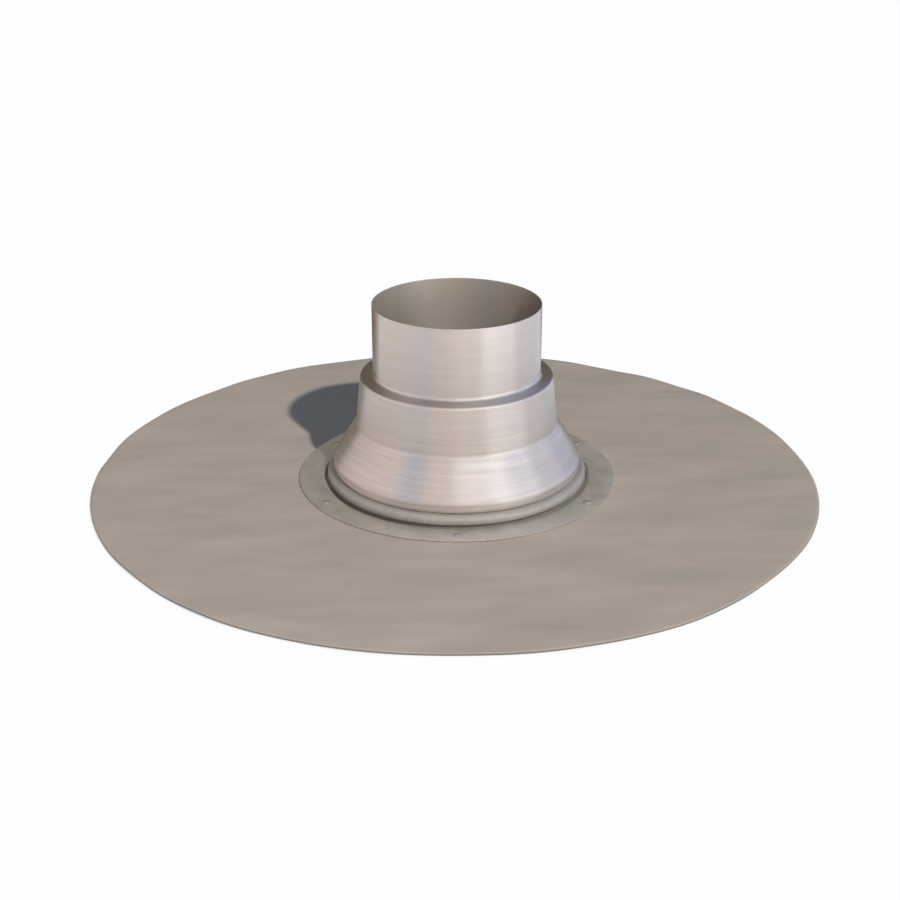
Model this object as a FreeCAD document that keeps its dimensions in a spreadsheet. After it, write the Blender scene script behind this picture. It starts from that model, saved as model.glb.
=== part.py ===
import FreeCAD, Part
import Sketcher
import os

# Pipe flashing boot for a flat roof: a spun aluminium collar for a 131 mm flue passage, crimped on
# a beaded base ring, whose flange holds a round roofing membrane under a riveted clamp ring.
# Millimetres. The origin is on the roof plane, on the pipe's axis, and +Z runs up the pipe.

doc = FreeCAD.newDocument("PipeFlashingBoot")

# ---------------------------------------------------------------- driving dimensions

DIMENSIONS = [
    # name, size, meaning
    ("tube_radius", 66.3, "outside of the collar tube"),
    ("cone_gauge", 0.8, "sheet thickness of the spun cone"),
    ("rim_height", 147.0, "cut rim of the collar tube"),
    ("ledge_height", 90.6, "where the tube meets the ledge"),
    ("ledge_round", 3.5, "hollow radius at the tube's foot"),
    ("shoulder_radius", 76.3, "outside of the shoulder"),
    ("shoulder_height", 88.4, "top of the shoulder"),
    ("shoulder_round", 2.5, "outer radius of the shoulder"),
    ("waist_radius", 80.3, "waist where the flare begins"),
    ("waist_height", 50.3, "height of that waist"),
    ("waist_round", 6.0, "hollow radius of the waist"),
    ("lip_corner", 99.95, "where the flare would meet the turned-in lip"),
    ("lip_height", 18.2, "height of that corner"),
    ("lip_round", 8.0, "outer radius from flare to lip"),
    ("lip_foot", 97.5, "lower edge of the lip"),
    ("lip_bottom", 12.1, "height of that edge"),
    ("base_gauge", 1.0, "sheet thickness of the base ring"),
    ("spigot_top", 17.5, "top edge of the spigot"),
    ("bead_radius", 104.0, "outside of the rolled bead"),
    ("bead_top", 11.8, "top of the bead"),
    ("bead_round", 4.6, "radius over the top of the bead"),
    ("bead_under", 5.2, "where the bead turns back in under itself"),
    ("neck_radius", 101.2, "neck between bead and flange"),
    ("neck_top", 2.4, "where the neck meets the bead"),
    ("flange_radius", 126.0, "outer edge of the base flange"),
    ("membrane_radius", 290.0, "outer edge of the membrane"),
    ("membrane_gauge", 1.5, "thickness of the membrane"),
    ("membrane_hole", 105.6, "radius of the hole in the membrane"),
    ("membrane_drop", 8.0, "width over which it drops off the flange"),
    ("membrane_play", 0.3, "gap between that drop and the flange's edge"),
    ("clamp_inner", 106.7, "inner edge of the clamp ring"),
    ("clamp_outer", 127.0, "outer edge of the clamp ring"),
    ("clamp_gauge", 1.0, "thickness of the clamp ring"),
    ("rivet_circle", 117.0, "radius of the circle of rivets"),
    ("rivet_count", 6, "rivets round the ring"),
    ("rivet_start", 30, "degrees from +X to the first rivet"),
    ("rivet_shank", 1.6, "radius of a rivet's shank"),
    ("rivet_play", 0.05, "gap between a shank and its hole"),
    ("rivet_head", 3.2, "radius of a rivet's head"),
    ("head_height", 1.1, "height of a rivet's head"),
    ("head_rim", 0.35, "height of the head's upright rim"),
    ("head_crown", 1.9, "radius of the head's flat crown"),
    ("mandrel_radius", 0.9, "radius of the hole left by the rivet's mandrel"),
    ("mandrel_depth", 0.7, "depth of that hole"),
]

sheet = doc.addObject("Spreadsheet::Sheet", "Dim")
for row, (alias, size, meaning) in enumerate(DIMENSIONS, start=1):
    sheet.set("A%d" % row, meaning)
    sheet.set("B%d" % row, str(size))
    sheet.setAlias("B%d" % row, alias)
doc.recompute()

# ---------------------------------------------------------------- shared helpers


def size_of(expression):
    """Value in mm of an expression on the sheet's dimensions."""
    result = sheet.evalExpression(str(expression))
    return float(getattr(result, "Value", result))


def new_body(label):
    """A body for one piece, whose label names the piece."""
    body = doc.addObject("PartDesign::Body", label)
    body.Label = label
    return body


def origin_plane(body, role):
    """One of the body's own origin planes."""
    return next(feature for feature in body.Origin.OriginFeatures if feature.Role == role)


def new_sketch(body, name, role, height=None):
    """An empty sketch on an origin plane of the body, lifted to a height if one is given."""
    sketch = body.newObject("Sketcher::SketchObject", name)
    sketch.AttachmentSupport = [(origin_plane(body, role), "")]
    sketch.MapMode = "FlatFace"
    if height is not None:
        sketch.setExpression("AttachmentOffset.Base.z", height)
    return sketch


def dimension(sketch, kind, where, name, expression):
    """A named dimension in a sketch, bound to the sheet."""
    sketch.addConstraint(Sketcher.Constraint(kind, *where, size_of(expression)))
    index = sketch.ConstraintCount - 1
    sketch.renameConstraint(index, name)
    sketch.setExpression("Constraints." + name, expression)


def meridian(body, name, corners):
    """A closed half section beside the pipe's axis.

    Each corner is (radius, height) or (radius, height, rounding), where the rounding is the
    radius of an arc tangent to both lines that meet there.
    """
    sketch = new_sketch(body, name, "XZ_Plane")
    places = [FreeCAD.Vector(size_of(corner[0]), size_of(corner[1]), 0) for corner in corners]
    for start, end in zip(places, places[1:] + places[:1]):
        sketch.addGeometry(Part.LineSegment(start, end))
    last = len(corners) - 1
    for line, corner in enumerate(corners):
        before = line - 1 if line else last
        sketch.addConstraint(Sketcher.Constraint("Coincident", before, 2, line, 1))
        across = ("DistanceX", "radius", -2, corner[0])
        upward = ("DistanceY", "height", -1, corner[1])
        for kind, word, axis, expression in (across, upward):
            if expression == "0":
                sketch.addConstraint(Sketcher.Constraint("PointOnObject", line, 1, axis))
            else:
                dimension(sketch, kind, (-1, 1, line, 1), "%s_%d" % (word, line), expression)
    for line, corner in enumerate(corners):
        if len(corner) == 3:
            arc = sketch.GeometryCount
            sketch.fillet(line, 1, size_of(corner[2]), True, True)
            dimension(sketch, "Radius", (arc,), "round_%d" % line, corner[2])
    return sketch


def circle(sketch, name, radius, place=None):
    """A circle in a sketch, centred on the axis or at a place given by its distances along X and Y."""
    centre = FreeCAD.Vector(*[size_of(distance) for distance in place or ("0", "0")], 0)
    index = sketch.addGeometry(Part.Circle(centre, FreeCAD.Vector(0, 0, 1), size_of(radius)))
    dimension(sketch, "Radius", (index,), name, radius)
    if place is None:
        sketch.addConstraint(Sketcher.Constraint("Coincident", index, 3, -1, 1))
    else:
        dimension(sketch, "DistanceX", (-1, 1, index, 3), name + "_along_x", place[0])
        dimension(sketch, "DistanceY", (-1, 1, index, 3), name + "_along_y", place[1])


def turned(body, name, sketch, axis="V_Axis"):
    """Turn a half section right round the pipe's axis, or round another axis of its sketch."""
    turn = body.newObject("PartDesign::Revolution", name)
    turn.Profile = sketch
    turn.ReferenceAxis = (sketch, [axis])
    turn.Angle = 360
    doc.recompute()
    return turn


def padded(body, name, sketch, length):
    """Raise a sketch by a length."""
    pad = body.newObject("PartDesign::Pad", name)
    pad.Profile = sketch
    pad.setExpression("Length", length)
    doc.recompute()
    return pad


def flat_faces(feature, heights):
    """Names of the level faces at the given heights."""
    levels = [size_of(height) for height in heights]
    names = []
    for number, face in enumerate(feature.Shape.Faces, start=1):
        level = face.CenterOfMass.z
        if isinstance(face.Surface, Part.Plane) and any(abs(level - other) < 0.01 for other in levels):
            names.append("Face%d" % number)
    return names


def shelled(body, name, feature, heights, gauge):
    """Leave a wall of one gauge inside the outer skin, open at the level faces named by height."""
    shell = body.newObject("PartDesign::Thickness", name)
    shell.Base = (feature, flat_faces(feature, heights))
    shell.Reversed = True
    shell.Join = "Intersection"
    shell.setExpression("Value", gauge)
    doc.recompute()
    return shell


def repeated(body, name, feature, axis):
    """Repeat a feature once for each rivet round an axis of its own sketch."""
    pattern = body.newObject("PartDesign::PolarPattern", name)
    pattern.Originals = [feature]
    pattern.Axis = (feature.Profile[0], [axis])
    pattern.Angle = 360
    pattern.setExpression("Occurrences", "Dim.rivet_count")
    body.Tip = pattern
    doc.recompute()
    return pattern


def drilled(body, top, depth):
    """Drill the rivet holes down through a layer, given its top and its depth."""
    sketch = new_sketch(body, "RivetHole", "XY_Plane", top)
    first = "Dim.rivet_start * 1 deg"
    place = ("Dim.rivet_circle * cos(%s)" % first, "Dim.rivet_circle * sin(%s)" % first)
    circle(sketch, "hole", "Dim.rivet_shank + Dim.rivet_play", place)
    drill = body.newObject("PartDesign::Pocket", "Drill")
    drill.Profile = sketch
    drill.setExpression("Length", depth)
    doc.recompute()
    return repeated(body, "RivetHoles", drill, "N_Axis")


# ---------------------------------------------------------------- pieces


def make_spun_cone():
    """Collar tube, ledge, tapered waist and flare, spun from one sheet, with its lower lip turned in."""
    body = new_body("spun_cone")
    outline = meridian(body, "Outline", [
        ("0", "Dim.lip_bottom"),
        ("Dim.lip_foot", "Dim.lip_bottom"),
        ("Dim.lip_corner", "Dim.lip_height", "Dim.lip_round"),
        ("Dim.waist_radius", "Dim.waist_height", "Dim.waist_round"),
        ("Dim.shoulder_radius", "Dim.shoulder_height", "Dim.shoulder_round"),
        ("Dim.tube_radius", "Dim.ledge_height", "Dim.ledge_round"),
        ("Dim.tube_radius", "Dim.rim_height"),
        ("0", "Dim.rim_height"),
    ])
    form = turned(body, "Spun", outline)
    shelled(body, "Wall", form, ("Dim.lip_bottom", "Dim.rim_height"), "Dim.cone_gauge")
    return body


def make_base_ring():
    """Spigot gripped by the cone's lip, rolled bead below it, and the flange under the membrane.

    The spigot's outside is where the inner side of the leaning lip ends.
    """
    body = new_body("base_ring")
    lip_lean = "atan((Dim.lip_corner - Dim.lip_foot) / (Dim.lip_height - Dim.lip_bottom))"
    spigot = "Dim.lip_foot - Dim.cone_gauge / cos(%s)" % lip_lean
    outline = meridian(body, "Outline", [
        ("0", "0"),
        ("Dim.neck_radius", "0"),
        ("Dim.neck_radius", "Dim.neck_top"),
        ("Dim.bead_radius", "Dim.bead_under"),
        ("Dim.bead_radius", "Dim.bead_top", "Dim.bead_round"),
        (spigot, "Dim.bead_top"),
        (spigot, "Dim.spigot_top"),
        ("0", "Dim.spigot_top"),
    ])
    form = turned(body, "Rolled", outline)
    shelled(body, "Wall", form, ("0", "Dim.spigot_top"), "Dim.base_gauge")

    ring = new_sketch(body, "FlangeRing", "XY_Plane")
    circle(ring, "outer", "Dim.flange_radius")
    circle(ring, "inner", "Dim.neck_radius - Dim.base_gauge")
    padded(body, "Flange", ring, "Dim.base_gauge")
    drilled(body, "Dim.base_gauge", "Dim.base_gauge")
    return body


def make_membrane():
    """Round sheet of flexible membrane that lies on the flange and drops to the roof beyond it."""
    body = new_body("membrane")
    inner_bend = "Dim.flange_radius + Dim.membrane_play"
    outer_bend = inner_bend + " + Dim.membrane_drop"
    section = meridian(body, "Section", [
        ("Dim.membrane_hole", "Dim.base_gauge"),
        (inner_bend, "Dim.base_gauge"),
        (outer_bend, "0"),
        ("Dim.membrane_radius", "0"),
        ("Dim.membrane_radius", "Dim.membrane_gauge"),
        (outer_bend, "Dim.membrane_gauge"),
        (inner_bend, "Dim.base_gauge + Dim.membrane_gauge"),
        ("Dim.membrane_hole", "Dim.base_gauge + Dim.membrane_gauge"),
    ])
    turned(body, "Disc", section)
    drilled(body, "Dim.base_gauge + Dim.membrane_gauge", "Dim.membrane_gauge")
    return body


def make_clamp_ring():
    """Flat ring that clamps the membrane to the flange."""
    body = new_body("clamp_ring")
    underside = "Dim.base_gauge + Dim.membrane_gauge"
    ring = new_sketch(body, "Ring", "XY_Plane", underside)
    circle(ring, "outer", "Dim.clamp_outer")
    circle(ring, "inner", "Dim.clamp_inner")
    padded(body, "Plate", ring, "Dim.clamp_gauge")
    drilled(body, underside + " + Dim.clamp_gauge", "Dim.clamp_gauge")
    return body


def make_rivets():
    """Blind rivets through the three layers: low crowned heads, and tails flush with the flange."""
    body = new_body("rivets")
    body.AllowCompound = True
    centre = "Dim.rivet_circle"
    seat = "Dim.base_gauge + Dim.membrane_gauge + Dim.clamp_gauge"
    top = seat + " + Dim.head_height"
    section = meridian(body, "Section", [
        (centre, "0"),
        (centre + " + Dim.rivet_shank", "0"),
        (centre + " + Dim.rivet_shank", seat),
        (centre + " + Dim.rivet_head", seat),
        (centre + " + Dim.rivet_head", seat + " + Dim.head_rim"),
        (centre + " + Dim.head_crown", top),
        (centre + " + Dim.mandrel_radius", top),
        (centre + " + Dim.mandrel_radius", top + " - Dim.mandrel_depth"),
        (centre, top + " - Dim.mandrel_depth"),
    ])
    foot = FreeCAD.Vector(size_of(centre), 0, 0)
    shank_axis = section.addGeometry(Part.LineSegment(foot, foot + FreeCAD.Vector(0, 1, 0)), True)
    section.addConstraint(Sketcher.Constraint("Coincident", shank_axis, 1, 0, 1))
    section.addConstraint(Sketcher.Constraint("Coincident", shank_axis, 2, shank_axis - 1, 1))
    rivet = turned(body, "Rivet", section, "Axis0")
    repeated(body, "RivetRing", rivet, "V_Axis")
    body.setExpression("Placement.Rotation.Angle", "Dim.rivet_start")
    return body


# ---------------------------------------------------------------- build, check and write

pieces = [make_spun_cone(), make_base_ring(), make_membrane(), make_clamp_ring(), make_rivets()]
doc.recompute()

for item in doc.Objects:
    if "Invalid" in item.State or "Error" in item.State:
        raise RuntimeError("%s failed: %s" % (item.Name, item.State))
for piece in pieces:
    solids = int(size_of("Dim.rivet_count")) if piece.Label == "rivets" else 1
    if piece.Shape.isNull() or not piece.Shape.isValid() or len(piece.Shape.Solids) != solids:
        raise RuntimeError("%s is not sound" % piece.Label)

os.makedirs("parts", exist_ok=True)
for piece in pieces:
    piece.Shape.exportStep(os.path.join("parts", piece.Label + ".step"))
    print("%-10s %9.1f mm3 in %d solid" % (piece.Label, piece.Shape.Volume, len(piece.Shape.Solids)))
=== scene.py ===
import math

import bpy
import numpy as np
from bpy.props import FloatProperty, FloatVectorProperty, IntProperty, PointerProperty
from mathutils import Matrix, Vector


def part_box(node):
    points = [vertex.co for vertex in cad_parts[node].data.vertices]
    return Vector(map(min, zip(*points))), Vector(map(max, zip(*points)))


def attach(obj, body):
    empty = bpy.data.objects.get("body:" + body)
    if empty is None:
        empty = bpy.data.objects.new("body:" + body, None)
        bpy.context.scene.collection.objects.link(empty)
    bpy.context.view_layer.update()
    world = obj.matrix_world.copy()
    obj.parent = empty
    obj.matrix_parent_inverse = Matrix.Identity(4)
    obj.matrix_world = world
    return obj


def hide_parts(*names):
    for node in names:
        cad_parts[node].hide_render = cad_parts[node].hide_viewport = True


bl_info = {
    "name": "Pipe flashing boot",
    "version": (1, 0, 0),
    "blender": (4, 5, 0),
    "location": "3D View > Sidebar > Flashing",
    "description": "Spun cone, base ring, clamp ring, rivets and membrane of a flat-roof flashing",
    "category": "Object",
}

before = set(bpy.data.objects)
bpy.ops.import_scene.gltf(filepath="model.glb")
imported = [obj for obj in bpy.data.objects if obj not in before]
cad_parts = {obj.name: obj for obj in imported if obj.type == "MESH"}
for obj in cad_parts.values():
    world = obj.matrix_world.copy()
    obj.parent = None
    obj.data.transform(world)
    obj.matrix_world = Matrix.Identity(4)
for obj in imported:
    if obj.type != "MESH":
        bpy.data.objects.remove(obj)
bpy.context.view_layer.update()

CONE_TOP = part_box("spun_cone")[1]
BASE_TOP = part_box("base_ring")[1]
MEMBRANE_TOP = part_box("membrane")[1]
CLAMP_BOTTOM, CLAMP_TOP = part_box("clamp_ring")
RIVET_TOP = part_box("rivets")[1]

# columns of points round a turned sheet of metal, round the membrane and round one rivet
COLUMNS = 288
MEMBRANE_COLUMNS = 360
RIVET_COLUMNS = 32

# the rounded edge of a sheet: its points, and how far it stands out as a share of half the gauge
EDGE_POINTS = 5
EDGE_BULGE = 0.9


# ---------------------------------------------------------------- what a user would change


def length(name, description, default):
    """A length property in metres."""
    return FloatProperty(name=name, description=description, default=default, unit="LENGTH",
                         precision=5)


def colour(name, description, default):
    """A colour property, linear red, green and blue."""
    return FloatVectorProperty(name=name, description=description, default=default, subtype="COLOR",
                               min=0.0, max=1.0)


def number(name, description, default):
    """A plain number property."""
    return FloatProperty(name=name, description=description, default=default)


def degrees(name, description, default):
    """An angle property, whose default is given in degrees."""
    return FloatProperty(name=name, description=description, default=math.radians(default),
                         subtype="ANGLE")


class ConeSettings(bpy.types.PropertyGroup):
    """Sizes and finish of the spun cone."""

    gauge: length("Gauge", "Sheet thickness", 0.0008)
    tube_radius: length("Tube radius", "Outside of the collar tube", 0.0663)
    ledge_height: length("Ledge height", "Where the tube meets the ledge", 0.0906)
    ledge_round: length("Ledge round", "Hollow radius at the tube's foot", 0.0035)
    shoulder_radius: length("Shoulder radius", "Outside of the shoulder", 0.0763)
    shoulder_height: length("Shoulder height", "Top of the shoulder", 0.0884)
    shoulder_round: length("Shoulder round", "Outer radius of the shoulder", 0.0025)
    waist_radius: length("Waist radius", "Where the flare begins", 0.0803)
    waist_height: length("Waist height", "Height of the waist", 0.0503)
    waist_round: length("Waist round", "Hollow radius of the waist", 0.0060)
    lip_corner: length("Lip corner", "Where the flare would meet the turned-in lip", 0.09995)
    lip_height: length("Lip height", "Height of that corner", 0.0182)
    lip_round: length("Lip round", "Outer radius from flare to lip", 0.0080)
    lip_foot: length("Lip foot", "Lower edge of the lip", 0.0975)
    lip_bottom: length("Lip bottom", "Height of that edge", 0.0121)
    metal: colour("Metal", "Colour of the bare spun aluminium", (0.64, 0.59, 0.56))
    inside: colour("Inside", "Colour of the duller inside", (0.39, 0.345, 0.295))
    inside_bare: number("Inside bare", "Share of bare metal on the duller inside", 0.6)
    # painted shade: share of the metal's tone left on the ledge, a painted darker reflection
    ledge_painted_shade: number("Ledge tone", "Tone of the ledge as a share of the metal's", 0.66)
    # painted highlight: the lip's tone brightens its metal
    lip_painted_highlight: number("Lip tone", "Tone of the lip as a share of the metal's", 1.28)
    streak: number("Streak", "How far reflections are drawn out across the lines", 0.86)
    line_pitch: length("Line pitch", "Mean distance between the spinning lines", 0.0016)
    line_length: length("Line length", "Mean length of a line round the cone", 0.030)
    line_depth: length("Line depth", "Depth of the spinning lines on the flare", 0.000034)


class BaseSettings(bpy.types.PropertyGroup):
    """Sizes and finish of the beaded base ring."""

    gauge: length("Gauge", "Sheet thickness", 0.0010)
    spigot_radius: length("Spigot radius", "Outside of the spigot inside the lip", 0.09663)
    bead_radius: length("Bead radius", "Outside of the rolled bead", 0.1040)
    bead_top: length("Bead top", "Top of the bead", 0.0118)
    bead_round: length("Bead round", "Radius over the top of the bead", 0.0046)
    bead_under: length("Bead underside", "Where the bead turns back in", 0.0052)
    under_round: length("Underside round", "Radius under the bead", 0.0022)
    neck_radius: length("Neck radius", "Neck between bead and flange", 0.1012)
    neck_top: length("Neck top", "Where the neck meets the bead", 0.0024)
    metal: colour("Metal", "Colour of the satin rolled aluminium", (0.355, 0.329, 0.298))
    bare: number("Bare share", "Share of bare metal under its matt skin of oxide", 0.6)


class ClampSettings(bpy.types.PropertyGroup):
    """Sizes and finish of the clamp ring."""

    inner_radius: length("Inner radius", "Inner edge of the ring", 0.1067)
    edge_round: length("Edge round", "Rounding of the ring's edges", 0.00025)
    metal: colour("Metal", "Colour of the dull aluminium", (0.56, 0.525, 0.472))
    bare: number("Bare share", "Share of bare metal under its matt skin of oxide", 0.83)


class RivetSettings(bpy.types.PropertyGroup):
    """Sizes and finish of the blind rivets."""

    count: IntProperty(name="Count", description="Rivets round the ring", default=6, min=1)
    first: degrees("First rivet", "Angle from +X to the first rivet", 30.0)
    circle: length("Circle", "Radius of the circle of rivets", 0.1170)
    head: length("Head", "Radius of a head", 0.0032)
    crown: length("Crown", "Radius of the head's flat crown", 0.0019)
    rim: length("Rim", "Height of the head's upright rim", 0.00035)
    mandrel: length("Mandrel hole", "Radius of the hole left by the mandrel", 0.0009)
    mandrel_depth: length("Mandrel depth", "Depth of that hole", 0.0007)
    shank: length("Shank", "Radius of the shank", 0.0016)
    metal: colour("Metal", "Colour of the rivets", (0.36, 0.345, 0.33))
    bare: number("Bare share", "Share of bare metal under its matt skin of oxide", 0.83)


class MembraneSettings(bpy.types.PropertyGroup):
    """Sizes and finish of the roofing membrane."""

    gauge: length("Gauge", "Thickness of the membrane", 0.0015)
    hole: length("Hole", "Radius of the hole", 0.1056)
    drop_start: length("Drop start", "Radius where it begins to drop off the flange", 0.1263)
    drop_width: length("Drop width", "How far past that most of the drop is done", 0.0100)
    wave: length("Wave", "Height of its slow waves", 0.0010)
    tint: colour("Colour", "Colour of the membrane", (0.389, 0.332, 0.278))
    shade: number("Shade", "How far the tone wanders, as a share of the colour", 0.05)


class StageSettings(bpy.types.PropertyGroup):
    """Floor, lights and camera."""

    floor: colour("Floor", "Colour of the floor", (0.36, 0.36, 0.36))
    floor_glow: number("Floor glow", "How much white the floor adds to the eye and in metal", 0.65)
    sky: colour("Fill", "Colour of the light from all round", (0.170, 0.24, 0.345))
    key_colour: colour("Key colour", "Colour of the key light", (1.0, 0.93, 0.85))
    key_strength: number("Key strength", "Strength of the key light", 3.6)
    key_angle: degrees("Key angle", "How wide the key light looks from the object", 1.8)
    camera_height: length("Camera height", "Height of the camera over the roof", 0.511)
    camera_back: length("Camera distance", "How far in front of the pipe the camera is", 1.149)
    camera_side: length("Camera side", "How far the camera is to the left", 0.0053)
    camera_pitch: degrees("Camera pitch", "How far the camera looks down", 23.03)
    camera_lens: number("Lens", "Focal length in mm on a 36 mm sensor", 61.88)


# ---------------------------------------------------------------- surfaces


def unit(vector):
    """A vector divided by its length."""
    return vector / np.linalg.norm(vector)


def rounded_line(corners, arc_points=9):
    """Outline through (radius, height) or (radius, height, rounding) corners.

    An arc of radius r touches both lines at r / tan(half the corner's angle) from the corner. Its
    points are the centre plus a spoke that turns evenly from one touching point to the other:
    (sin((1 - t) s) first + sin(t s) last) / sin(s), where s is the arc's sweep and t runs 0 to 1.
    """
    places = [np.array(corner[:2], float) for corner in corners]
    share = np.linspace(0.0, 1.0, arc_points)[:, None]
    runs = []
    for index, corner in enumerate(corners):
        here = places[index]
        if len(corner) == 2:
            runs.append(here[None])
            continue
        back = unit(places[index - 1] - here)
        on = unit(places[(index + 1) % len(corners)] - here)
        half = 0.5 * math.acos(float(back @ on))
        centre = here + unit(back + on) * corner[2] / math.sin(half)
        first = here + back * corner[2] / math.tan(half) - centre
        last = here + on * corner[2] / math.tan(half) - centre
        sweep = math.pi - 2.0 * half
        spokes = np.sin((1.0 - share) * sweep) * first + np.sin(share * sweep) * last
        runs.append(centre + spokes / math.sin(sweep))
    return np.vstack(runs)


def sheet_section(outer, gauge):
    """Closed section of a sheet of even gauge whose outer side is an open outline, foot first.

    A point moves inwards by gauge (a + b) / (1 + a.b), where a and b are the unit normals of its two
    edges. Each end is half an ellipse from one side to the other, middle + cos t (side - middle) +
    sin t reach, where t runs 0 to pi, and the sides stop short by that reach.
    """
    edges = np.diff(outer, axis=0)
    normals = np.stack([-edges[:, 1], edges[:, 0]], axis=1) / np.linalg.norm(edges, axis=1)[:, None]
    before = np.vstack([normals[:1], normals])
    after = np.vstack([normals, normals[-1:]])
    inner = outer + gauge * (before + after) / (1.0 + np.sum(before * after, axis=1))[:, None]

    turn = np.linspace(0.0, math.pi, EDGE_POINTS + 2)[1:-1, None]

    def end(here, there, onward):
        middle = 0.5 * (here + there)
        return middle + np.cos(turn) * (here - middle) + 0.5 * gauge * np.sin(turn) * onward

    top = end(outer[-1], inner[-1], unit(edges[-1]) * EDGE_BULGE)
    foot = end(inner[0], outer[0], -unit(edges[0]) * EDGE_BULGE)
    inset = 0.5 * EDGE_BULGE * gauge
    outer = outer.copy()
    for side in (outer, inner):
        side[-1] -= unit(edges[-1]) * inset
        side[0] += unit(edges[0]) * inset
    top -= unit(edges[-1]) * inset
    foot += unit(edges[0]) * inset
    return np.vstack([outer, top, inner[::-1], foot])


def turned(section, columns=COLUMNS):
    """Grid of a section turned round +Z: (r cos a, r sin a, z), with a from 0 to a full turn."""
    angle = np.arange(columns) * 2.0 * math.pi / columns
    radius = section[:, 0, None]
    height = np.broadcast_to(section[:, 1, None], (len(section), columns))
    return np.stack([radius * np.cos(angle), radius * np.sin(angle), height], axis=2)


def closed_rings(name, grids, sharp=40.0):
    """One object from grids of points that close on themselves both ways, so each is a solid ring.

    Each quad joins a point to its neighbours one row on and one column on. Where the summed volume
    x . (y cross z) / 6 of a grid's triangles is negative, its quads are turned over. Shading breaks at
    edges that turn by more than sharp, in degrees.
    """
    corners, faces, start = [], [], 0
    for grid in grids:
        rows, columns = grid.shape[:2]
        index = np.arange(rows * columns).reshape(rows, columns)
        below = np.roll(index, -1, axis=0)
        beside, across = np.roll(index, -1, axis=1), np.roll(below, -1, axis=1)
        quads = np.stack([index, beside, across, below], axis=2).reshape(-1, 4)
        points = grid.reshape(-1, 3)
        a, b, c, d = (points[quads[:, corner]] for corner in range(4))
        volume = np.sum(a * np.cross(b, c)) + np.sum(a * np.cross(c, d))
        faces.append((quads if volume > 0.0 else quads[:, ::-1]) + start)
        corners.append(points)
        start += len(points)
    corners, faces = np.vstack(corners), np.vstack(faces)
    mesh = bpy.data.meshes.new(name)
    mesh.vertices.add(len(corners))
    mesh.vertices.foreach_set("co", corners.astype(np.float32).ravel())
    mesh.loops.add(faces.size)
    mesh.loops.foreach_set("vertex_index", faces.astype(np.int32).ravel())
    mesh.polygons.add(len(faces))
    mesh.polygons.foreach_set("loop_start", np.arange(0, faces.size, 4, dtype=np.int32))
    mesh.update(calc_edges=True)
    mesh.validate()
    mesh.shade_smooth()
    mesh.set_sharp_from_angle(angle=math.radians(sharp))
    piece = bpy.data.objects.new(name, mesh)
    bpy.context.scene.collection.objects.link(piece)
    return piece


def mark_rows(piece, name, rows, columns=COLUMNS):
    """Keep a share of 0 to 1 for each row of a turned piece at its points, for its material to read."""
    share = piece.data.attributes.new(name, "FLOAT", "POINT")
    share.data.foreach_set("value", np.repeat(rows, columns).astype(np.float32))


def finish_piece(piece, material, slot, *nodes):
    """Give a piece its material and its body, and hide the nodes it stands for; its slot is not used.
    """
    piece.data.materials.append(material)
    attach(piece, "root")
    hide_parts(*nodes)


# ---------------------------------------------------------------- finishes


class Shading:
    """A new material and short ways to add and join its nodes."""

    # the colour sockets of a mix node, which share their names with its number sockets
    MIX_FIRST, MIX_LAST, MIX_RESULT = 6, 7, 2

    def __init__(self, name):
        self.material = bpy.data.materials.new(name)
        self.material.use_nodes = True
        self.tree = self.material.node_tree
        self.shader = self.tree.nodes["Principled BSDF"]

    def add(self, kind, settings=None, **inputs):
        """A node of a kind, with its settings and the values or links of its named inputs."""
        node = self.tree.nodes.new(kind)
        for key, value in (settings or {}).items():
            setattr(node, key, value)
        for key, value in inputs.items():
            self.put(node, key.replace("_", " "), value)
        return node

    def put(self, node, key, value):
        """Set an input, given by name or place, or link it if the value is another node's output."""
        socket = node.inputs[key]
        if isinstance(value, bpy.types.NodeSocket):
            self.tree.links.new(value, socket)
        else:
            socket.default_value = value

    def noise(self, stretch, detail, roughness=0.55):
        """Noise on the object's coordinates, each axis multiplied by its stretch."""
        place = self.add("ShaderNodeTexCoord")
        scaled = self.add("ShaderNodeMapping", {}, Vector=place.outputs["Object"], Scale=stretch)
        node = self.add("ShaderNodeTexNoise", {}, Vector=scaled.outputs["Vector"], Scale=1.0,
                        Detail=detail, Roughness=roughness)
        return node.outputs["Fac"]

    def between(self, fac, low, high, start=0.3, stop=0.7):
        """A number that goes from low to high as fac goes from start to stop."""
        node = self.add("ShaderNodeMapRange", {}, Value=fac, From_Min=start, From_Max=stop,
                        To_Min=low, To_Max=high)
        return node.outputs["Result"]

    def marked(self, name, plain, full):
        """A number that goes from plain to full where the piece's attribute of that name goes to 1."""
        mark = self.add("ShaderNodeAttribute", {"attribute_name": name})
        return self.between(mark.outputs["Fac"], plain, full, 0.0, 1.0)

    def blended(self, share, first, last):
        """The colour that goes from the first to the last as share goes from 0 to 1."""
        node = self.add("ShaderNodeMix", {"data_type": "RGBA"}, Factor=share)
        self.put(node, self.MIX_FIRST, tuple(first) + (1.0,))
        self.put(node, self.MIX_LAST, tuple(last) + (1.0,))
        return node.outputs[self.MIX_RESULT]

    def toned(self, tint, *factors):
        """A colour multiplied by one or more grey factors."""
        for factor in factors:
            node = self.add("ShaderNodeVectorMath", {"operation": "SCALE"}, Scale=factor)
            self.put(node, 0, tint)
            tint = node.outputs["Vector"]
        return tint


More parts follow.
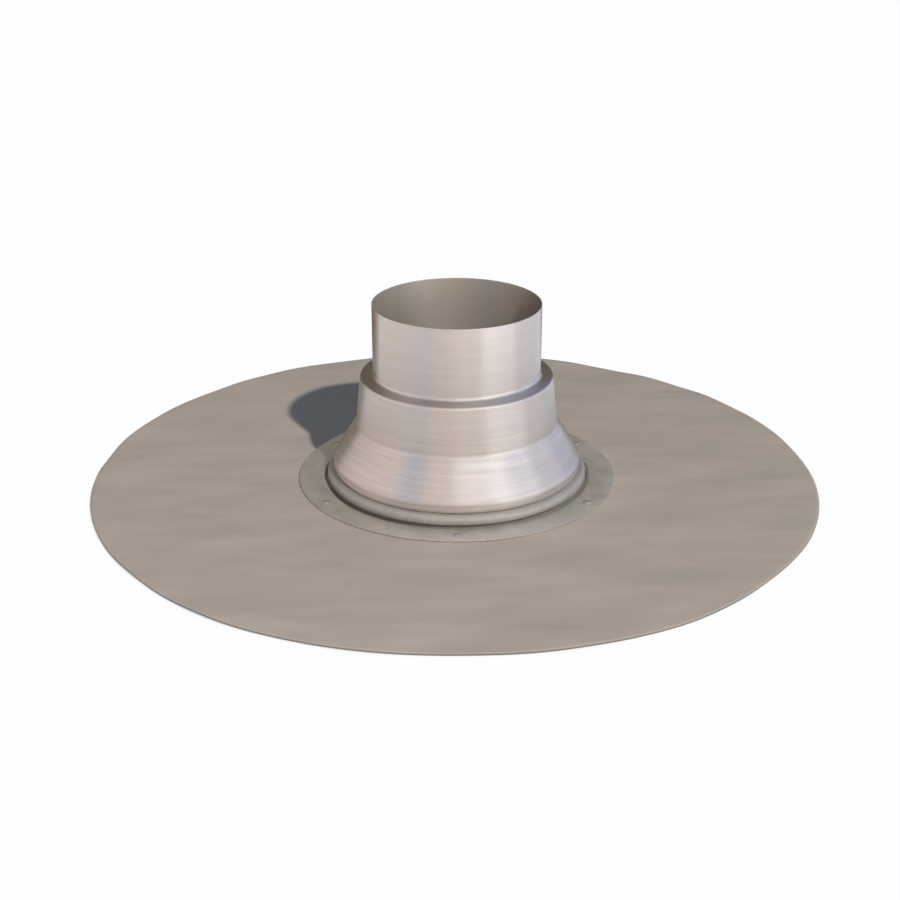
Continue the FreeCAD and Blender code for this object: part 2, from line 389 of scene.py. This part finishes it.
def spun_aluminium(settings):
    """Bare spun aluminium: short lines round the cone in relief, tone and gloss, streaked reflections.

    Attributes say how strong the lines are, and mark the duller inside, the ledge with painted shade
    and the lip with a painted highlight. Broader bands lie over the lines, six times as deep.
    """
    look = Shading("Spun aluminium")
    around, up = 1.0 / settings.line_length, 1.0 / settings.line_pitch
    lines = look.noise((around, around, up), 3.0)
    bands = look.noise((around * 0.35, around * 0.35, 0.45 / settings.line_pitch), 1.0)
    shader = look.shader
    look.put(shader, "Metallic", look.marked("inside", 1.0, settings.inside_bare))
    metal = look.blended(look.marked("inside", 0.0, 1.0), settings.metal, settings.inside)
    look.put(shader, "Base Color", look.toned(
        metal,
        look.between(lines, look.marked("lines", 1.0, 0.92), look.marked("lines", 1.0, 1.055)),
        look.between(bands, look.marked("lines", 1.0, 0.91), look.marked("lines", 1.0, 1.065)),
        # painted shade darkens the ledge
        look.marked("ledge", 1.0, settings.ledge_painted_shade),
        # a painted highlight brightens the lip
        look.marked("lip", 1.0, settings.lip_painted_highlight)))
    look.put(shader, "Roughness", look.between(lines, 0.34, 0.44))
    look.put(shader, "Anisotropic", settings.streak)
    look.put(shader, "Anisotropic Rotation", 0.25)
    around_axis = look.add("ShaderNodeTangent", {"direction_type": "RADIAL", "axis": "Z"})
    look.put(shader, "Tangent", around_axis.outputs["Tangent"])
    cut = look.marked("lines", 0.0, 1.0)
    fine = look.add("ShaderNodeBump", {}, Strength=cut, Distance=settings.line_depth, Height=lines)
    band_depth = settings.line_depth * 6.0
    relief = look.add("ShaderNodeBump", {}, Strength=cut, Distance=band_depth, Height=bands,
                      Normal=fine.outputs["Normal"])
    look.put(shader, "Normal", relief.outputs["Normal"])
    return look.material


def satin_aluminium(name, settings):
    """Satin aluminium with cloudy tone and gloss, a matt skin of oxide and painted shade on its edges.

    Clouds, mottle and grain are noise at 55, 260 and 900 to the metre. The attribute cut marks the
    edges, which are darkened with painted shade.
    """
    look = Shading(name)
    clouds = look.noise((55.0, 55.0, 55.0), 4.0)
    mottle = look.noise((260.0, 260.0, 260.0), 3.0)
    grain = look.noise((900.0, 900.0, 900.0), 2.0)
    shader = look.shader
    look.put(shader, "Metallic", settings.bare)
    look.put(shader, "Base Color", look.toned(
        tuple(settings.metal), look.between(clouds, 0.94, 1.06), look.between(mottle, 0.93, 1.07),
        # the last factor is painted shade on the rows marked cut
        look.between(grain, 0.97, 1.03), look.marked("cut", 1.0, 0.7)))
    look.put(shader, "Roughness", look.between(clouds, 0.45, 0.55))
    relief = look.add("ShaderNodeBump", {}, Strength=0.6, Distance=0.00003, Height=clouds)
    look.put(shader, "Normal", relief.outputs["Normal"])
    return look.material


def roof_membrane(settings):
    """Matt flexible membrane: clouds of tone, slow painted shade, soft ripples and very fine grain.

    Noise runs along X, so its clouds and ripples are longer that way. Its edge, marked cut, is darker
    with painted shade.
    """
    look = Shading("Roof membrane")
    clouds = look.noise((9.0, 21.0, 21.0), 2.0)
    ripples = look.noise((13.0, 27.0, 27.0), 2.0, 0.4)
    grain = look.noise((1400.0, 1400.0, 1400.0), 2.0)
    shader = look.shader
    spread, outer = settings.shade, MEMBRANE_TOP.x
    point = look.add("ShaderNodeTexCoord").outputs["Object"]
    place = look.add("ShaderNodeSeparateXYZ", {}, Vector=point)
    # painted shade: the colour darkens towards the back and to the right
    back = look.between(place.outputs["Y"], 1.03, 0.87, -outer, outer)
    right = look.between(place.outputs["X"], 1.015, 0.965, -outer, outer)
    look.put(shader, "Base Color", look.toned(
        tuple(settings.tint), look.between(clouds, 1.0 - spread, 1.0 + spread),
        # the edge rows marked cut are darkened with painted shade
        look.between(grain, 0.985, 1.015), back, right, look.marked("cut", 1.0, 0.5)))
    look.put(shader, "Roughness", 0.62)
    look.put(shader, "Specular IOR Level", 0.25)
    fine = look.add("ShaderNodeBump", {}, Strength=0.5, Distance=0.00003, Height=grain)
    relief = look.add("ShaderNodeBump", {}, Strength=1.0, Distance=0.0034, Height=ripples,
                      Normal=fine.outputs["Normal"])
    look.put(shader, "Normal", relief.outputs["Normal"])
    return look.material


def studio_floor(settings):
    """Pale floor that is white to the eye and in reflections, and still takes the object's shadow."""
    look = Shading("Studio floor")
    shader = look.shader
    look.put(shader, "Base Color", tuple(settings.floor) + (1.0,))
    look.put(shader, "Roughness", 0.9)
    look.put(shader, "Specular IOR Level", 0.0)
    look.put(shader, "Emission Color", (1.0, 1.0, 1.0, 1.0))
    rays = look.add("ShaderNodeLightPath")
    seen = look.add("ShaderNodeMath", {"operation": "MAXIMUM"})
    look.put(seen, 0, rays.outputs["Is Camera Ray"])
    look.put(seen, 1, rays.outputs["Is Glossy Ray"])
    glow = look.add("ShaderNodeMath", {"operation": "MULTIPLY"})
    look.put(glow, 0, seen.outputs[0])
    look.put(glow, 1, settings.floor_glow)
    look.put(shader, "Emission Strength", glow.outputs[0])
    return look.material


# ---------------------------------------------------------------- pieces


class FLASHING_OT_cone(bpy.types.Operator):
    """Make the spun cone: collar tube, ledge, tapered waist, flare and turned-in lip."""

    bl_idname = "flashing.cone"
    bl_label = "Spun cone"

    # how strong the spinning lines are inside, on the tube, on the waist and on the flare
    LINE_SHARES = (0.18, 0.35, 0.6, 1.0)
    # where the ledge's painted shade stops: out from the tube, in from the shoulder and below its top
    FROM_TUBE, FROM_SHOULDER, BELOW_TOP = 0.0008, 0.0006, 0.0003
    # how far below the lip's corner its painted highlight begins
    BELOW_CORNER = 0.0015

    def execute(self, context):
        sizes = context.scene.flashing_cone
        outer = rounded_line([
            (sizes.lip_foot, sizes.lip_bottom),
            (sizes.lip_corner, sizes.lip_height, sizes.lip_round),
            (sizes.waist_radius, sizes.waist_height, sizes.waist_round),
            (sizes.shoulder_radius, sizes.shoulder_height, sizes.shoulder_round),
            (sizes.tube_radius, sizes.ledge_height, sizes.ledge_round),
            (sizes.tube_radius, CONE_TOP.z),
        ])
        section = sheet_section(outer, sizes.gauge)
        cone = closed_rings("cone_skin", [turned(section)])
        row, (radius, height) = np.arange(len(section)), section.T
        # from halfway round the upper edge to halfway round the lower one
        half = EDGE_POINTS // 2
        inside = (row >= len(outer) + half) & (row < len(section) - half)
        mark_rows(cone, "inside", inside)
        *shares, on_flare = self.LINE_SHARES
        places = [inside, height > sizes.ledge_height, height > sizes.waist_height]
        mark_rows(cone, "lines", np.select(places, shares, on_flare))
        # the ledge rows, which get painted shade
        mark_rows(cone, "ledge", (radius > sizes.tube_radius + self.FROM_TUBE)
                  & (radius < sizes.shoulder_radius - self.FROM_SHOULDER)
                  & (height > sizes.shoulder_height - self.BELOW_TOP))
        # the lip rows, which get a painted highlight
        mark_rows(cone, "lip", ~inside & (height < sizes.lip_height - self.BELOW_CORNER))
        finish_piece(cone, spun_aluminium(sizes), "spun_aluminium", "spun_cone")
        return {"FINISHED"}


class FLASHING_OT_base(bpy.types.Operator):
    """Make the base ring: flange, neck, rolled bead and spigot."""

    bl_idname = "flashing.base"
    bl_label = "Base ring"

    # hollow radius where the spigot rises from the bead
    SPIGOT_ROUND = 0.0008

    def execute(self, context):
        sizes = context.scene.flashing_base
        gauge = sizes.gauge
        corners = [
            (BASE_TOP.x, gauge),
            (sizes.neck_radius, gauge),
            (sizes.neck_radius, sizes.neck_top),
            (sizes.bead_radius, sizes.bead_under, sizes.under_round),
            (sizes.bead_radius, sizes.bead_top, sizes.bead_round),
            (sizes.spigot_radius, sizes.bead_top, self.SPIGOT_ROUND),
            (sizes.spigot_radius, BASE_TOP.z),
        ]
        base = closed_rings("base_skin", [turned(sheet_section(rounded_line(corners), gauge))])
        finish_piece(base, satin_aluminium("Rolled aluminium", sizes), "rolled_aluminium", "base_ring")
        return {"FINISHED"}


class FLASHING_OT_clamp(bpy.types.Operator):
    """Make the flat clamp ring with softened edges."""

    bl_idname = "flashing.clamp"
    bl_label = "Clamp ring"

    # rows further than this from the top face are cut edge or underside
    TOP_FACE = 0.00005

    def execute(self, context):
        sizes = context.scene.flashing_clamp
        edge = sizes.edge_round
        section = rounded_line([
            (sizes.inner_radius, CLAMP_BOTTOM.z, edge),
            (CLAMP_TOP.x, CLAMP_BOTTOM.z, edge),
            (CLAMP_TOP.x, CLAMP_TOP.z, edge),
            (sizes.inner_radius, CLAMP_TOP.z, edge),
        ], arc_points=4)
        ring = closed_rings("clamp_skin", [turned(section)])
        # the cut edges and underside, which get painted shade
        mark_rows(ring, "cut", np.abs(section[:, 1] - CLAMP_TOP.z) > self.TOP_FACE)
        finish_piece(ring, satin_aluminium("Ring aluminium", sizes), "ring_aluminium", "clamp_ring")
        return {"FINISHED"}


class FLASHING_OT_rivets(bpy.types.Operator):
    """Make the blind rivets with their domed heads and mandrel holes."""

    bl_idname = "flashing.rivets"
    bl_label = "Rivets"

    # rounding of the rim and the mandrel hole, and of the crown; radius left open on the axis
    RIM_ROUND, CROWN_ROUND = 0.0002, 0.0009
    AXIS_GAP = 0.00002

    def execute(self, context):
        sizes = context.scene.flashing_rivets
        seat, top = CLAMP_TOP.z, RIVET_TOP.z
        section = rounded_line([
            (self.AXIS_GAP, 0.0),
            (sizes.shank, 0.0),
            (sizes.shank, seat),
            (sizes.head, seat),
            (sizes.head, seat + sizes.rim, self.RIM_ROUND),
            (sizes.crown, top, self.CROWN_ROUND),
            (sizes.mandrel, top, self.RIM_ROUND),
            (sizes.mandrel, top - sizes.mandrel_depth),
            (self.AXIS_GAP, top - sizes.mandrel_depth),
        ], arc_points=5)
        rivet = turned(section, RIVET_COLUMNS)
        angles = sizes.first + np.arange(sizes.count) * 2.0 * math.pi / sizes.count
        places = np.stack([np.cos(angles), np.sin(angles), 0.0 * angles], axis=1) * sizes.circle
        rivets = closed_rings("rivet_skins", [rivet + place for place in places])
        finish_piece(rivets, satin_aluminium("Rivet aluminium", sizes), "rivet_aluminium", "rivets")
        return {"FINISHED"}


class FLASHING_OT_membrane(bpy.types.Operator):
    """Make the membrane: flat under the clamp ring, down off the flange, slightly wavy beyond."""

    bl_idname = "flashing.membrane"
    bl_label = "Membrane"

    # angle of the middle, half width and rise of each stretch where the edge lifts or sags
    EDGE_LIFTS = ((129.0, 20.0, 0.0012), (160.0, 20.0, 0.0006), (37.0, 18.0, 0.0006),
                  (57.0, 14.0, -0.0010), (2.0, 18.0, -0.0010), (210.0, 28.0, 0.0006))
    # angle of the middle, half width and reach of each stretch where the cut runs out or in
    CUT_BULGES = ((235.0, 15.0, 0.0022), (302.0, 8.0, 0.0012), (270.0, 16.0, -0.0036),
                  (100.0, 20.0, 0.0010), (322.0, 14.0, -0.0016), (58.0, 12.0, -0.0014))
    # how far the cut lies to the left, and how far it falls short all round
    CUT_SHIFT, CUT_SHORT = 0.002, 0.0008
    # turn per metre along x and y, start and size of each slow wave and finer ripple of the sheet
    WAVES = ((31.0, 52.0, 0.3, 0.28), (-44.0, 61.0, 1.9, 0.24), (66.0, 24.0, 4.0, 0.18),
             (-18.0, 95.0, 2.4, 0.14), (83.0, -49.0, 5.2, 0.10), (22.0, 118.0, 0.7, 0.09),
             (-35.0, 104.0, 3.1, 0.08), (48.0, 131.0, 2.2, 0.07), (-57.0, 92.0, 4.6, 0.08))
    # how far the cut edge's corners are eased off
    EDGE_EASE = 0.0004
    # rows of points on the flange, down the drop and beyond it
    ROWS = (5, 17, 70)

    def round_edge(self, angle, stretches):
        """Sum over stretches of rise times half (1 + cos) of the distance, zero past the half width."""
        total = np.zeros_like(angle)
        for middle, half, rise in stretches:
            off = np.abs((np.degrees(angle) - middle + 180.0) % 360.0 - 180.0) / half
            total += rise * 0.5 * (1.0 + np.cos(math.pi * np.minimum(off, 1.0)))
        return total

    def waves(self, x, y):
        """Sum over the waves of size sin(along x + up y + start)."""
        return sum(size * np.sin(along * x + up * y + start) for along, up, start, size in self.WAVES)

    def section(self, sizes, outer):
        """Rows of the top, the edge and the underside, and how many the top and the edge have.

        The underside is at flange (exp(-8 s) + exp(-s s)) / 2, where s is the distance past the start
        of the drop over its width, and the top is one gauge above it.
        """
        gauge = sizes.gauge
        flange = MEMBRANE_TOP.z - gauge
        start, stop = sizes.drop_start, sizes.drop_start + sizes.drop_width
        on_flange, down, beyond = self.ROWS
        radii = np.concatenate([
            np.linspace(sizes.hole, start, on_flange)[:-1],
            np.linspace(start, stop, down)[:-1],
            np.linspace(stop, outer - self.EDGE_EASE, beyond),
        ])
        past = np.maximum(radii - sizes.drop_start, 0.0) / sizes.drop_width
        under = flange * 0.5 * (np.exp(-8.0 * past) + np.exp(-past * past))
        top = np.stack([radii, under + gauge], axis=1)
        bottom = np.stack([radii, under], axis=1)
        rim = np.array([(outer, gauge - self.EDGE_EASE), (outer, self.EDGE_EASE)])
        return np.vstack([top, rim, bottom[::-1]]), len(top), len(rim)

    def lay(self, grid, sizes, outer):
        """Lay the turned sheet unevenly, the more so the further beyond the drop a point is.

        That distance is b, as a share of the way from the drop's start to the cut. The cut's run in
        and out grows as b to the 4th, the waves come in as 4 b b (3 - 2 b) up to 1, and the edge's
        lifts and sags grow as b to the 6th. Nothing sinks below where the flat sheet lies.
        """
        radius = np.hypot(grid[..., 0], grid[..., 1])
        angle = np.arctan2(grid[..., 1], grid[..., 0])
        start = sizes.drop_start
        beyond = np.clip((radius - start - sizes.drop_width) / (outer - start), 0.0, 1.0)
        bulge = self.round_edge(angle, self.CUT_BULGES)
        reach = (bulge - self.CUT_SHIFT * np.cos(angle) - self.CUT_SHORT) * beyond ** 4
        grid[..., 0] += reach * np.cos(angle)
        grid[..., 1] += reach * np.sin(angle)
        ease = np.minimum(4.0 * (beyond * beyond * (3.0 - 2.0 * beyond)), 1.0)
        lie = sizes.wave * (1.0 + self.waves(grid[..., 0], grid[..., 1])) * ease
        lift = self.round_edge(angle, self.EDGE_LIFTS) * beyond ** 6
        grid[..., 2] += np.maximum(lie + lift, 0.0)

    def execute(self, context):
        sizes = context.scene.flashing_membrane
        outer = MEMBRANE_TOP.x
        section, tops, rims = self.section(sizes, outer)
        grid = turned(section, MEMBRANE_COLUMNS)
        self.lay(grid, sizes, outer)
        sheet = closed_rings("membrane_sheet", [grid], sharp=50.0)
        row = np.arange(len(section))
        # the cut edge's rows, which get painted shade
        mark_rows(sheet, "cut", (row >= tops) & (row < tops + rims), MEMBRANE_COLUMNS)
        finish_piece(sheet, roof_membrane(sizes), "roof_membrane", "membrane")
        return {"FINISHED"}


# ---------------------------------------------------------------- stage


class FLASHING_OT_stage(bpy.types.Operator):
    """Make the floor, the light from all round, the key light, the softboxes and the camera."""

    bl_idname = "flashing.stage"
    bl_label = "Stage"

    # half the width of the floor, and the way from the object to the key light
    FLOOR_HALF = 6.0
    KEY_WAY = (0.58, -0.99, 1.0)

    # the softboxes stand on a circle round the object, with so many points along each edge, in two
    # bands of height
    RADIUS, POINTS = 2.0, 13
    LOW, HIGH = (0.0, 0.9), (0.9, 3.4)
    # name, first and last angle to the right of the front, band, colour of its light
    SOFTBOXES = (
        ("low far left", -134.0, -108.0, LOW, (0.88, 0.78, 0.76)),
        ("low left", -108.0, -62.0, LOW, (0.94, 0.80, 0.72)),
        ("low blue left", -62.0, -30.0, LOW, (0.93, 0.94, 0.98)),
        ("low front", -30.0, 33.0, LOW, (1.18, 0.99, 0.90)),
        ("low bright", 33.0, 80.0, LOW, (2.10, 2.02, 2.00)),
        ("low right", 80.0, 112.0, LOW, (1.12, 1.11, 1.15)),
        ("low far right", 112.0, 149.0, LOW, (0.72, 0.82, 1.08)),
        ("high left", -126.0, -62.0, HIGH, (1.14, 1.02, 1.01)),
        ("high blue left", -62.0, -36.0, HIGH, (0.50, 0.61, 0.80)),
        ("high front", -36.0, -2.0, HIGH, (1.06, 0.93, 0.86)),
        ("high bright", -2.0, 57.0, HIGH, (1.685, 1.755, 1.765)),
        ("high blue right", 57.0, 146.0, HIGH, (0.70, 0.82, 1.10)),
        ("low dark behind", 149.0, 226.0, LOW, (0.23, 0.20, 0.155)),
        ("high dark behind", 146.0, 234.0, HIGH, (0.23, 0.20, 0.155)),
    )
    # name, first and last angle, radius and height of both edges, colour of its light
    DARK_FLOOR = ("dark floor behind", 146.0, 236.0, (0.32, 0.004), (RADIUS, 0.004),
                  (0.20, 0.18, 0.15))

    def make_floor(self, settings):
        """One large square on the roof plane."""
        mesh = bpy.data.meshes.new("floor")
        half = self.FLOOR_HALF
        corners = [(-half, -half, 0.0), (half, -half, 0.0), (half, half, 0.0), (-half, half, 0.0)]
        mesh.from_pydata(corners, [], [(0, 1, 2, 3)])
        floor = bpy.data.objects.new("floor", mesh)
        bpy.context.scene.collection.objects.link(floor)
        mesh.materials.append(studio_floor(settings))

    def make_world(self, settings):
        """Soft light from all round, which is white to the eye and in reflections."""
        world = bpy.data.worlds.new("Studio")
        bpy.context.scene.world = world
        world.use_nodes = True
        tree = world.node_tree
        fill = tree.nodes["Background"]
        fill.inputs["Color"].default_value = tuple(settings.sky) + (1.0,)
        white = tree.nodes.new("ShaderNodeBackground")
        white.inputs["Color"].default_value = (1.0, 1.0, 1.0, 1.0)
        rays = tree.nodes.new("ShaderNodeLightPath")
        seen = tree.nodes.new("ShaderNodeMath")
        seen.operation = "MAXIMUM"
        tree.links.new(rays.outputs["Is Camera Ray"], seen.inputs[0])
        tree.links.new(rays.outputs["Is Glossy Ray"], seen.inputs[1])
        mix = tree.nodes.new("ShaderNodeMixShader")
        tree.links.new(seen.outputs[0], mix.inputs[0])
        tree.links.new(fill.outputs[0], mix.inputs[1])
        tree.links.new(white.outputs[0], mix.inputs[2])
        tree.links.new(mix.outputs[0], tree.nodes["World Output"].inputs["Surface"])

    def make_key(self, settings):
        """A sun from the front right: it lights and shades, and the softboxes are what gleams."""
        lamp = bpy.data.lights.new("key", "SUN")
        lamp.energy = settings.key_strength
        lamp.color = settings.key_colour
        lamp.angle = settings.key_angle
        key = bpy.data.objects.new("key", lamp)
        way = Vector(self.KEY_WAY).normalized()
        key.location = way
        key.rotation_euler = way.to_track_quat("Z", "Y").to_euler()
        key.visible_glossy = False
        bpy.context.scene.collection.objects.link(key)

    def make_panel(self, name, first, last, near, far, tint):
        """A panel that only reflections show, on an arc round the object.

        Its two edges are arcs about +Z, each with its own radius R and height h, and the panel is ruled
        between them: (R sin a, -R cos a, h), where a is counted from the front to the right.
        """
        angle = np.radians(np.linspace(first, last, self.POINTS))
        across = np.stack([np.sin(angle), -np.cos(angle), 0.0 * angle], axis=1)
        corners = np.vstack([across * radius + (0.0, 0.0, height)
                             for radius, height in (near, far)])
        count = len(angle)
        faces = [(i, i + 1, i + 1 + count, i + count) for i in range(count - 1)]
        mesh = bpy.data.meshes.new(name)
        mesh.from_pydata(corners.tolist(), [], faces)
        panel = bpy.data.objects.new(name, mesh)
        bpy.context.scene.collection.objects.link(panel)
        look = Shading(name)
        look.put(look.shader, "Base Color", (0.0, 0.0, 0.0, 1.0))
        look.put(look.shader, "Specular IOR Level", 0.0)
        look.put(look.shader, "Emission Color", tint + (1.0,))
        look.put(look.shader, "Emission Strength", 1.0)
        mesh.materials.append(look.material)
        for rays in ("camera", "diffuse", "shadow", "transmission", "volume_scatter"):
            setattr(panel, "visible_" + rays, False)

    def make_camera(self, settings):
        """A camera in front of the object that looks straight back and down."""
        lens = bpy.data.cameras.new("camera")
        lens.sensor_width = 36.0
        lens.lens = settings.camera_lens
        camera = bpy.data.objects.new("camera", lens)
        camera.location = (-settings.camera_side, -settings.camera_back, settings.camera_height)
        camera.rotation_euler = (math.radians(90.0) - settings.camera_pitch, 0.0, 0.0)
        bpy.context.scene.collection.objects.link(camera)
        bpy.context.scene.camera = camera

    def execute(self, context):
        settings = context.scene.flashing_stage
        context.scene.view_settings.view_transform = "Standard"
        self.make_floor(settings)
        self.make_world(settings)
        self.make_key(settings)
        for name, first, last, (low, high), tint in self.SOFTBOXES:
            self.make_panel(name, first, last, (self.RADIUS, low), (self.RADIUS, high), tint)
        self.make_panel(*self.DARK_FLOOR)
        self.make_camera(settings)
        return {"FINISHED"}


class FLASHING_PT_panel(bpy.types.Panel):
    """The flashing's pieces and stage, each made by its own button."""

    bl_label = "Pipe flashing boot"
    bl_idname = "FLASHING_PT_panel"
    bl_space_type = "VIEW_3D"
    bl_region_type = "UI"
    bl_category = "Flashing"

    def draw(self, context):
        """One button for each operator."""
        for operator in OPERATORS:
            self.layout.operator(operator.bl_idname)


SETTINGS = {
    "flashing_cone": ConeSettings,
    "flashing_base": BaseSettings,
    "flashing_clamp": ClampSettings,
    "flashing_rivets": RivetSettings,
    "flashing_membrane": MembraneSettings,
    "flashing_stage": StageSettings,
}
OPERATORS = (FLASHING_OT_cone, FLASHING_OT_base, FLASHING_OT_clamp, FLASHING_OT_rivets,
             FLASHING_OT_membrane, FLASHING_OT_stage)


def register():
    """Make the settings, the operators and the panel known to Blender."""
    for name, group in SETTINGS.items():
        bpy.utils.register_class(group)
        setattr(bpy.types.Scene, name, PointerProperty(type=group))
    for operator in OPERATORS:
        bpy.utils.register_class(operator)
    bpy.utils.register_class(FLASHING_PT_panel)


def unregister():
    """Take the panel, the operators and the settings away again."""
    bpy.utils.unregister_class(FLASHING_PT_panel)
    for operator in reversed(OPERATORS):
        bpy.utils.unregister_class(operator)
    for name, group in SETTINGS.items():
        delattr(bpy.types.Scene, name)
        bpy.utils.unregister_class(group)


def main():
    """Make every piece and the stage."""
    register()
    bpy.ops.flashing.cone()
    bpy.ops.flashing.base()
    bpy.ops.flashing.clamp()
    bpy.ops.flashing.rivets()
    bpy.ops.flashing.membrane()
    bpy.ops.flashing.stage()


if __name__ == "__main__":
    main()
